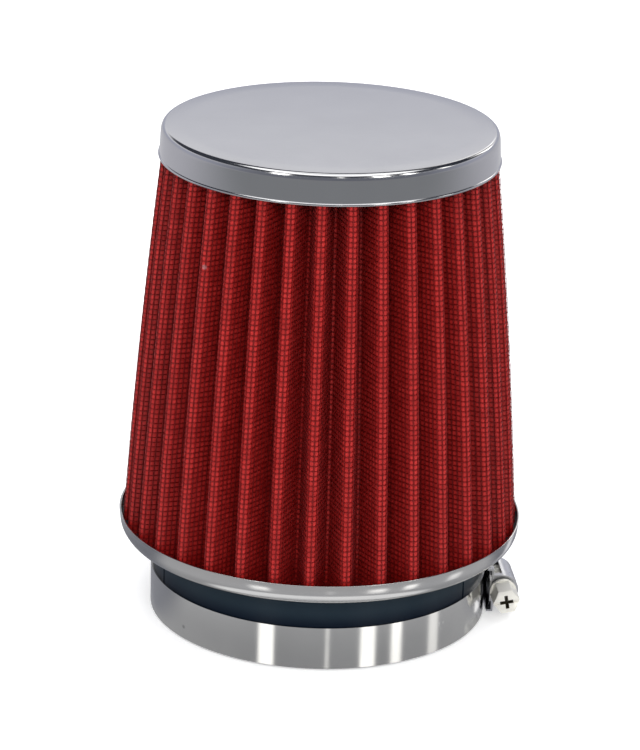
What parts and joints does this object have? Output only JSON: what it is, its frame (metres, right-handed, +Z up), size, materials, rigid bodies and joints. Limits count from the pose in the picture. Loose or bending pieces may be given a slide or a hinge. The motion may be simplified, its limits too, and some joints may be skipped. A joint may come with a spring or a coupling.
{
  "type": "cone air filter",
  "caption": "Round tapered air filter for an engine intake: metal cap and base ring, pleated red wire-backed pack, black neck with a worm-drive hose clamp.",
  "frame": {"origin": "centre of the neck's open end, on the filter's axis", "axes": "+Z up the filter's axis to the cap, +X toward the clamp's screw housing, the screw's head points to -Y"},
  "size_m": [0.1204, 0.1204, 0.15],
  "materials": {
    "cap_chrome": "satin chrome plate",
    "ring_chrome": "bright chrome plate",
    "red_screen": "red coated wire cloth",
    "red_gauze": "oiled red cotton gauze",
    "potting": "black cast polyurethane",
    "core_steel": "zinc plated sheet",
    "neck_rubber": "smooth black moulding",
    "clamp_steel": "polished stainless strip",
    "screw_zinc": "nickel plated steel"
  },
  "bodies": {
    "filter": {"top_cap": "cap_chrome", "cap_potting": "potting", "outer_screen": "red_screen", "filter_gauze": "red_gauze", "inner_screen": "red_screen", "seam_clip": "core_steel", "inner_core": "core_steel", "base_ring": "ring_chrome", "base_potting": "potting", "neck": "neck_rubber", "clamp_band": "clamp_steel", "clamp_housing": "clamp_steel"},
    "screw": {"clamp_screw": "screw_zinc"}
  },
  "joints": [
    {"name": "clamp_screw_turn", "type": "hinge", "parent": "filter", "child": "screw", "pos_m": [0.05535, 0, 0.007], "axis": [0, -1, 0], "continuous": true}
  ]
}
